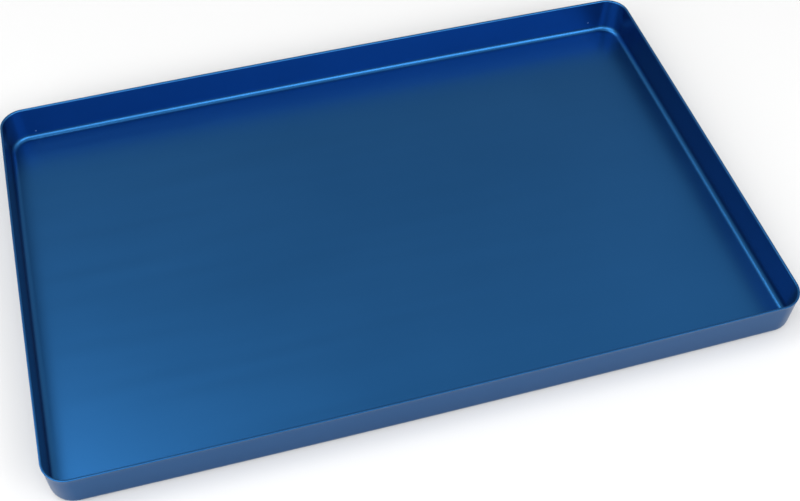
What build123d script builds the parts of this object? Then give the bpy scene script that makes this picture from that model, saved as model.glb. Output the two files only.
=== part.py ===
from build123d import *
import os

# A shallow instrument tray, deep drawn in one stroke from a single aluminium
# blank, pinch-trimmed at the rim and anodised. It has no other pieces.
# Millimetres, +X along the long side, +Z up, origin at the centre of the underside.

# ---- driving dimensions -------------------------------------------------
length = 284.0  # over the widest point of the short walls, lip included
width = 183.0  # over the widest point of the long walls, lip included
height = 17.0  # underside to the top of the rim
sheet = 0.8  # thickness of the blank, the same in floor and walls

long_side_crown = 0.94  # outward bow of the long walls at mid length
short_side_crown = 0.21  # outward bow of the short walls at mid length
wall_draft = 0.15  # how much further in the wall stands at the underside than at the top

rim_corner_radius = 9.3  # plan radius of the corners, measured on the lip
foot_corner_radius = 9.7  # plan radius of the corners at the foot of the wall
foot_radius = 3.0  # outside radius of the bend between floor and wall

lip_flare = 0.2  # how far the trimmed rim stands out from the wall
lip_flare_height = 0.8  # height over which the wall runs out into the lip
lip_band_height = 0.4  # upright band above the flare, up to the top of the rim
lip_edge_radius = 0.12  # rounding of the rim's outer edge
rim_inner_radius = 0.6  # rounding of the rim's inner edge, over most of the sheet


def crowned_outline(z, inset, corner_radius):
    """The tray's plan at height z, moved in by inset: four shallow arcs with round corners."""
    half_length = length / 2 - short_side_crown - inset
    half_width = width / 2 - long_side_crown - inset
    corners = [
        (-half_length, -half_width),
        (half_length, -half_width),
        (half_length, half_width),
        (-half_length, half_width),
    ]
    crests = [
        (0, -half_width - long_side_crown),
        (half_length + short_side_crown, 0),
        (0, half_width + long_side_crown),
        (-half_length - short_side_crown, 0),
    ]
    with BuildSketch() as outline:
        with BuildLine():
            for side in range(4):
                ThreePointArc(corners[side], crests[side], corners[(side + 1) % 4])
        make_face()
        fillet(outline.vertices(), corner_radius)
    return Pos(0, 0, z) * outline.sketch


def wall_inset(z):
    """How far in from the lip the outside of the wall stands at height z."""
    return lip_flare + wall_draft * (1 - z / height)


def outer_form():
    """Everything inside the tray's outer skin: drafted wall, flared lip, foot bend, rim edge."""
    flare_foot = height - lip_band_height - lip_flare_height
    sections = [
        crowned_outline(0, wall_inset(0), foot_corner_radius),
        crowned_outline(flare_foot, wall_inset(flare_foot), rim_corner_radius - lip_flare),
        crowned_outline(height - lip_band_height, 0, rim_corner_radius),
        crowned_outline(height, 0, rim_corner_radius),
    ]
    form = loft(sections, ruled=True)
    form = fillet(form.faces().sort_by(Axis.Z)[0].edges(), foot_radius)
    return fillet(form.faces().sort_by(Axis.Z)[-1].edges(), lip_edge_radius)


def cavity():
    """The space inside the tray, one sheet thickness inside the wall and the floor."""
    sections = [
        crowned_outline(sheet, wall_inset(0) + sheet, foot_corner_radius - sheet),
        crowned_outline(height, wall_inset(height) + sheet, rim_corner_radius - lip_flare - sheet),
    ]
    space = loft(sections, ruled=True)
    return fillet(space.faces().sort_by(Axis.Z)[0].edges(), foot_radius - sheet)


def tray_shell():
    """The whole tray: the outer form less the cavity, with the rim's inner edge rounded too."""
    shell = outer_form() - cavity()
    rim = shell.faces().filter_by(Axis.Z).sort_by(Axis.Z)[-1]
    return fillet(rim.inner_wires()[0].edges(), rim_inner_radius)


os.makedirs("parts", exist_ok=True)
tray = tray_shell()
tray.label = "tray_shell"
export_step(tray, "parts/tray_shell.step")
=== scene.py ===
from math import cos, pi, radians, sin

import bmesh
import bpy
from mathutils import Matrix, Vector


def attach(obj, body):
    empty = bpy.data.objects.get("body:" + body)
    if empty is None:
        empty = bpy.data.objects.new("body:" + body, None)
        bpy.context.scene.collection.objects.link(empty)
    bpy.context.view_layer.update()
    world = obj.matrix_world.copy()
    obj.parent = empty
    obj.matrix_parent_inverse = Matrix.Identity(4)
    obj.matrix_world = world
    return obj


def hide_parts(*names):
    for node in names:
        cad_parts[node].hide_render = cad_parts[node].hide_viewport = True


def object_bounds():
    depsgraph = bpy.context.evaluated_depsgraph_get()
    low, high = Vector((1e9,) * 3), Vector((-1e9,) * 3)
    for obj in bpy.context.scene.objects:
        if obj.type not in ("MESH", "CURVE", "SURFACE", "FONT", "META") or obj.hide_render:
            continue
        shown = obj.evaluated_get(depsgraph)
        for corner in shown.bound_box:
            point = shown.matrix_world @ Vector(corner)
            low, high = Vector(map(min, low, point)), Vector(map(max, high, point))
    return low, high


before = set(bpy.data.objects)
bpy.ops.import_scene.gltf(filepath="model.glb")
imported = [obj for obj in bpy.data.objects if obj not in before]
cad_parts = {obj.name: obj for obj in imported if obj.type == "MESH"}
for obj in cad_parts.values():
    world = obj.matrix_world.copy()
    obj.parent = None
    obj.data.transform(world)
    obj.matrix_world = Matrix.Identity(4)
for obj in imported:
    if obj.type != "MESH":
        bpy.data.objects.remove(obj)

cad_low, cad_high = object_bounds()

# ---- the drawn shell --------------------------------------------------------------
# One blank of 0.8 mm aluminium sheet, drawn over a punch in a single stroke into floor,
# walls and corners, then pinch-trimmed, which leaves a small outward lip at the rim.
# It is etched matt, anodised and dyed blue, so its skin is a satin, tinted metal.

SHEET = 0.0008
FOOT_RADIUS = 0.0030
FOOT_CORNER_RADIUS = 0.0097
WALL_CORNER_RADIUS = 0.0091
WALL_DRAFT = 0.00015
LONG_SIDE_CROWN = 0.00094
SHORT_SIDE_CROWN = 0.00021
LIP_FLARE = 0.0002
LIP_FLARE_HEIGHT = 0.0008
LIP_BAND_HEIGHT = 0.0004
LIP_EDGE_RADIUS = 0.00012
RIM_INNER_RADIUS = 0.0006
SUPPORT = 0.0003  # width of the narrow faces that keep the flats flat beside each bend
RIM_SUPPORT = 0.00005  # the same, beside the small roundings of the rim
CORNER_STEPS = 24
FLARE_STEPS = 6
BEND_STEPS = 14
RIM_STEPS = 8
LONG_SIDE_CUTS = 63
SHORT_SIDE_CUTS = 39
WALL_RINGS = (0.4, 0.6, 0.8)  # shares of the height at which the wall gets a ring of edges
SAME_PLACE = 0.000001  # two places closer than this count as one
UPRIGHT = 0.1  # a face is upright if its unit normal rises or falls by less than this

tray_height = cad_high.z - cad_low.z
half_length = (cad_high.x - cad_low.x) / 2 - SHORT_SIDE_CROWN - LIP_FLARE
half_width = (cad_high.y - cad_low.y) / 2 - LONG_SIDE_CROWN - LIP_FLARE
corner_centre = Vector((half_length - WALL_CORNER_RADIUS, half_width - WALL_CORNER_RADIUS))
shell = bmesh.new()


def from_core(place):
    """The level step from the rectangle of corner centres to a place: its length is the reach."""
    return Vector((
        place.x - min(max(place.x, -corner_centre.x), corner_centre.x),
        place.y - min(max(place.y, -corner_centre.y), corner_centre.y),
        0,
    ))


def edge_middle(edge):
    """Half-way point of an edge."""
    return (edge.verts[0].co + edge.verts[1].co) / 2


# The foot of the wall, as an outline with round corners and finely divided sides.
foot_plan = Matrix.Diagonal((2 * (half_length - WALL_DRAFT), 2 * (half_width - WALL_DRAFT), 1, 1))
bmesh.ops.create_grid(shell, x_segments=1, y_segments=1, size=0.5, matrix=foot_plan)
bmesh.ops.bevel(
    shell, geom=shell.verts[:], offset=FOOT_CORNER_RADIUS, offset_type="OFFSET",
    affect="VERTICES", segments=CORNER_STEPS, profile=0.5, material=-1,
)
bmesh.ops.delete(shell, geom=shell.faces[:], context="FACES_ONLY")
for length_along, cuts in ((lambda e: abs(e.x), LONG_SIDE_CUTS), (lambda e: abs(e.y), SHORT_SIDE_CUTS)):
    sides = [e for e in shell.edges if length_along(e.verts[1].co - e.verts[0].co) > FOOT_CORNER_RADIUS]
    bmesh.ops.subdivide_edges(shell, edges=sides, cuts=cuts)
foot_edges = shell.edges[:]

# The wall is drawn up from it. It leans out by its draft, and its corners tighten upwards.
wall = bmesh.ops.extrude_edge_only(shell, edges=foot_edges)["geom"]
for v in (g for g in wall if isinstance(g, bmesh.types.BMVert)):
    for axis, half in ((0, half_length), (1, half_width)):
        side = 1 if v.co[axis] > 0 else -1
        past_arc_centre = side * v.co[axis] - (half - WALL_DRAFT - FOOT_CORNER_RADIUS)
        if past_arc_centre > -SAME_PLACE:
            v.co[axis] = side * (half - WALL_CORNER_RADIUS * (1 - past_arc_centre / FOOT_CORNER_RADIUS))
    v.co.z = tray_height
bmesh.ops.edgeloop_fill(shell, edges=foot_edges)
bmesh.ops.bevel(
    shell, geom=foot_edges, offset=FOOT_RADIUS, offset_type="OFFSET",
    affect="EDGES", segments=BEND_STEPS, profile=0.5, material=-1,
)
floor = max(shell.faces, key=lambda f: len(f.verts))
bmesh.ops.inset_region(shell, faces=[floor], thickness=SUPPORT, use_even_offset=True)


def cut_level(faces, height):
    """Cuts these faces with a level plane, which leaves a ring of edges at that height."""
    cut_through = {g for f in faces for g in (f, *f.edges, *f.verts)}
    bmesh.ops.bisect_plane(
        shell, geom=list(cut_through), plane_co=(0, 0, height), plane_no=(0, 0, 1), dist=SAME_PLACE / 10,
    )


lip_foot = tray_height - LIP_BAND_HEIGHT - LIP_FLARE_HEIGHT
for height in (FOOT_RADIUS + SUPPORT, *(share * tray_height for share in WALL_RINGS), lip_foot):
    cut_level(shell.faces, height)

# The sheet gets its thickness inwards, all over, and its trimmed edge is level.
bmesh.ops.recalc_face_normals(shell, faces=shell.faces)
bmesh.ops.solidify(shell, geom=shell.faces[:], thickness=SHEET)
for v in shell.verts:
    if v.co.z > tray_height - SUPPORT / 2:
        v.co.z = tray_height

middle_reach = WALL_CORNER_RADIUS - SHEET / 2


def upright_rim_faces(inner):
    """The wall's faces above the foot of the lip, on its inside or its outside."""
    return [
        f for f in shell.faces
        if f.calc_center_median().z > lip_foot and abs(f.normal.z) < UPRIGHT
        and (from_core(f.calc_center_median()).length < middle_reach) == inner
    ]


# The last stretch of the outer skin runs out smoothly into the lip.
for step in range(1, FLARE_STEPS + 1):
    cut_level(upright_rim_faces(inner=False), lip_foot + LIP_FLARE_HEIGHT * step / FLARE_STEPS)
for v in shell.verts:
    rise = (v.co.z - lip_foot) / LIP_FLARE_HEIGHT
    step_out = from_core(v.co)
    if rise > 0 and step_out.length > middle_reach:
        rise = min(rise, 1)
        v.co += step_out.normalized() * LIP_FLARE * rise * rise * (3 - 2 * rise)

# The trimmed edge is rounded on both sides, the inner one over most of the sheet.
for inner, radius in ((False, LIP_EDGE_RADIUS), (True, RIM_INNER_RADIUS)):
    rim_edges = [
        e for e in shell.edges
        if all(v.co.z > tray_height - SAME_PLACE for v in e.verts)
        and all((from_core(v.co).length < middle_reach) == inner for v in e.verts)
    ]
    bmesh.ops.bevel(
        shell, geom=rim_edges, offset=radius, offset_type="OFFSET",
        affect="EDGES", segments=RIM_STEPS, profile=0.5, material=-1,
    )
rim_land = [f for f in shell.faces if all(v.co.z > tray_height - SAME_PLACE for v in f.verts)]
bmesh.ops.inset_region(shell, faces=rim_land, thickness=RIM_SUPPORT, use_even_offset=True)
cut_level(upright_rim_faces(inner=True), tray_height - RIM_INNER_RADIUS - RIM_SUPPORT)

# The one big face of the underside and of the inner floor become even grids of squares.
for floor in [f for f in shell.faces if len(f.verts) > 4 * CORNER_STEPS]:
    outline = floor.edges[:]
    bmesh.ops.delete(shell, geom=[floor], context="FACES_ONLY")
    facing_y = [e for e in outline if abs(from_core(edge_middle(e)).y) > abs(from_core(edge_middle(e)).x)]
    bmesh.ops.grid_fill(shell, edges=facing_y)

# The punch is crowned: each wall bows out a little between its corners.
for v in shell.verts:
    long_bow = LONG_SIDE_CROWN * (1 - (v.co.x / half_length) ** 2)
    short_bow = SHORT_SIDE_CROWN * (1 - (v.co.y / half_width) ** 2)
    v.co.x *= 1 + max(short_bow, 0) / half_length
    v.co.y *= 1 + max(long_bow, 0) / half_width
bmesh.ops.recalc_face_normals(shell, faces=shell.faces)
for f in shell.faces:
    f.smooth = True

skin = bpy.data.meshes.new("tray_skin")
shell.to_mesh(skin)
shell.free()
tray = bpy.data.objects.new("tray_skin", skin)
bpy.context.scene.collection.objects.link(tray)


DYE_TINT = (0.0110, 0.0790, 0.218)
PALE_DYE_TINT = (0.0122, 0.0830, 0.227)
SATIN_ROUGHNESS = (0.325, 0.355)  # from the smoothest rolling streak to the mattest
SEAL_WEIGHT = 0.05
SEAL_ROUGHNESS = 0.34
SEAL_IOR = 1.6
CLOUD_SCALE = 14  # soft clouds in the dye, several centimetres across
CLOUD_RANGE = (0.35, 0.65)  # the part of the noise that runs from the plain dye to the pale one
STREAK_SCALE = 160  # rolling streaks, a few millimetres wide
STREAK_RANGE = (0.3, 0.7)
STREAK_STRETCH = 0.06  # they run along the sheet, so they are this much finer across it
GRAIN_SCALE = 2400  # matt etch, under half a millimetre
GRAIN_HEIGHT = 0.000004
BARE_METAL = (0.46, 0.50, 0.53)
RACK_MARK_EDGE = (0.000216, 0.000468)  # bare within the first radius, dyed beyond the second
# The rack's points gripped the inside of both long walls close to the corners.
RACK_MARKS = (
    (-0.1289, 0.0896, 0.0041), (0.1272, 0.0896, 0.0055),
    (-0.1280, -0.0896, 0.0046), (0.1284, -0.0896, 0.0050),
)


def satin_blue_anodising():
    """Etched aluminium under a dyed anodic layer: a tinted satin metal with a fine matt grain."""
    finish = bpy.data.materials.new("satin_blue_anodising")
    finish.use_nodes = True
    nodes, links = finish.node_tree.nodes, finish.node_tree.links
    metal = nodes["Principled BSDF"]
    metal.inputs["Metallic"].default_value = 1.0
    metal.inputs["Coat Weight"].default_value = SEAL_WEIGHT
    metal.inputs["Coat Roughness"].default_value = SEAL_ROUGHNESS
    metal.inputs["Coat IOR"].default_value = SEAL_IOR
    place = nodes.new("ShaderNodeTexCoord").outputs["Object"]

    def noise(scale, detail, stretch=1.0):
        """A noise pattern in the object's own space, drawn out along X by the stretch."""
        mapping = nodes.new("ShaderNodeMapping")
        mapping.inputs["Scale"].default_value = (stretch, 1, 1)
        links.new(place, mapping.inputs["Vector"])
        pattern = nodes.new("ShaderNodeTexNoise")
        pattern.inputs["Scale"].default_value = scale
        pattern.inputs["Detail"].default_value = detail
        links.new(mapping.outputs["Vector"], pattern.inputs["Vector"])
        return pattern.outputs["Fac"]

    def spread(value, low, high, to_low, to_high):
        """Carries the range low..high over to the range to_low..to_high, and stops at its ends."""
        ramp = nodes.new("ShaderNodeMapRange")
        ramp.inputs["From Min"].default_value = low
        ramp.inputs["From Max"].default_value = high
        ramp.inputs["To Min"].default_value = to_low
        ramp.inputs["To Max"].default_value = to_high
        links.new(value, ramp.inputs["Value"])
        return ramp.outputs["Result"]

    def blend(share, first, second):
        """Mixes two colours; each may be a colour or the outlet of another mix."""
        mix = nodes.new("ShaderNodeMix")
        mix.data_type = "RGBA"
        links.new(share, mix.inputs["Factor"])
        colour_a, colour_b = mix.inputs[6:8]
        for socket, colour in ((colour_a, first), (colour_b, second)):
            if isinstance(colour, tuple):
                socket.default_value = (*colour, 1)
            else:
                links.new(colour, socket)
        colour_result = mix.outputs[2]
        return colour_result

    dye = blend(spread(noise(CLOUD_SCALE, detail=2), *CLOUD_RANGE, 0, 1), DYE_TINT, PALE_DYE_TINT)
    for mark in RACK_MARKS:
        gap = nodes.new("ShaderNodeVectorMath")
        gap.operation = "DISTANCE"
        gap.inputs[1].default_value = mark
        links.new(place, gap.inputs[0])
        bare = spread(gap.outputs["Value"], *RACK_MARK_EDGE, 1, 0)
        dye = blend(bare, dye, BARE_METAL)
    links.new(dye, metal.inputs["Base Color"])
    streaks = noise(STREAK_SCALE, detail=3, stretch=STREAK_STRETCH)
    links.new(spread(streaks, *STREAK_RANGE, *SATIN_ROUGHNESS), metal.inputs["Roughness"])
    grain = nodes.new("ShaderNodeBump")
    grain.inputs["Strength"].default_value = 1.0
    grain.inputs["Distance"].default_value = GRAIN_HEIGHT
    links.new(noise(GRAIN_SCALE, detail=2), grain.inputs["Height"])
    links.new(grain.outputs["Normal"], metal.inputs["Normal"])
    return finish


skin.materials.append(satin_blue_anodising())
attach(tray, "root")
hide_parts("tray_shell")

# ---- floor, light and camera --------------------------------------------------------
# A wide, plain, pale table top, three large soft boxes on the viewer's side of the tray, three
# smaller ones over it and beyond it, a dim room, and a camera that looks down across the near side.

FLOOR_SIZE = 6.0
FLOOR_DROP = 0.00005  # hair's breadth under the tray, so that the two faces don't coincide
FLOOR_COLOUR = (0.47, 0.47, 0.47)
FLOOR_ROUGHNESS = 0.9
table = bmesh.new()
bmesh.ops.create_grid(
    table, x_segments=1, y_segments=1, size=FLOOR_SIZE / 2, matrix=Matrix.Translation((0, 0, -FLOOR_DROP)),
)
table_mesh = bpy.data.meshes.new("pale_floor")
table.to_mesh(table_mesh)
table.free()
floor_piece = bpy.data.objects.new("pale_floor", table_mesh)
bpy.context.scene.collection.objects.link(floor_piece)
paper = bpy.data.materials.new("pale_floor")
paper.use_nodes = True
paper.node_tree.nodes["Principled BSDF"].inputs["Base Color"].default_value = (*FLOOR_COLOUR, 1)
paper.node_tree.nodes["Principled BSDF"].inputs["Roughness"].default_value = FLOOR_ROUGHNESS
table_mesh.materials.append(paper)

ROOM_LEVEL = 0.69
room = bpy.data.worlds.new("dim_room")
bpy.context.scene.world = room
room.use_nodes = True
room.node_tree.nodes["Background"].inputs["Color"].default_value = (1, 1, 1, 1)
room.node_tree.nodes["Background"].inputs["Strength"].default_value = ROOM_LEVEL

# Each box: name, compass angle from +Y towards +X, height angle, width, height, radiance.
# Angles are in degrees and sizes in metres; every box faces the tray.
SOFTBOX_DISTANCE = 1.6
SOFTBOXES = (
    ("key", 162, 38, 1.6, 0.7, 6.20),
    ("right_near", 115, 38, 1.3, 1.3, 1.50),
    ("left_near", 235, 35, 1.3, 1.3, 4.00),
    ("top_left", -60, 66, 0.7, 0.7, 7.00),
    ("top", 0, 88, 0.9, 0.9, 0.91),
    ("right_far", 62, 57, 0.9, 0.8, 0.34),
)
for name, compass, rise, wide, high, radiance in SOFTBOXES:
    away = Vector((
        sin(radians(compass)) * cos(radians(rise)),
        cos(radians(compass)) * cos(radians(rise)),
        sin(radians(rise)),
    ))
    lamp = bpy.data.lights.new(name, "AREA")
    lamp.shape = "RECTANGLE"
    lamp.size, lamp.size_y = wide, high
    lamp.energy = pi * wide * high * radiance
    box = bpy.data.objects.new(name, lamp)
    box.location = SOFTBOX_DISTANCE * away
    box.rotation_euler = (-away).to_track_quat("-Z", "Y").to_euler()
    bpy.context.scene.collection.objects.link(box)

SENSOR_WIDTH = 36.0
LENS = 54.396
CAMERA_SHIFT = (0.02613, -0.01677)
NEAREST_SEEN = 0.01
CAMERA_PLACE = (-0.08527, -0.30166, 0.38304)
CAMERA_TURN = (38.920, -0.152, -15.670)  # degrees about X, Y and Z
camera_data = bpy.data.cameras.new("camera")
camera_data.sensor_width = SENSOR_WIDTH
camera_data.lens = LENS
camera_data.shift_x, camera_data.shift_y = CAMERA_SHIFT
camera_data.clip_start = NEAREST_SEEN
camera = bpy.data.objects.new("camera", camera_data)
camera.location = CAMERA_PLACE
camera.rotation_euler = [radians(angle) for angle in CAMERA_TURN]
bpy.context.scene.collection.objects.link(camera)
bpy.context.scene.camera = camera
bpy.context.scene.view_settings.view_transform = "Standard"
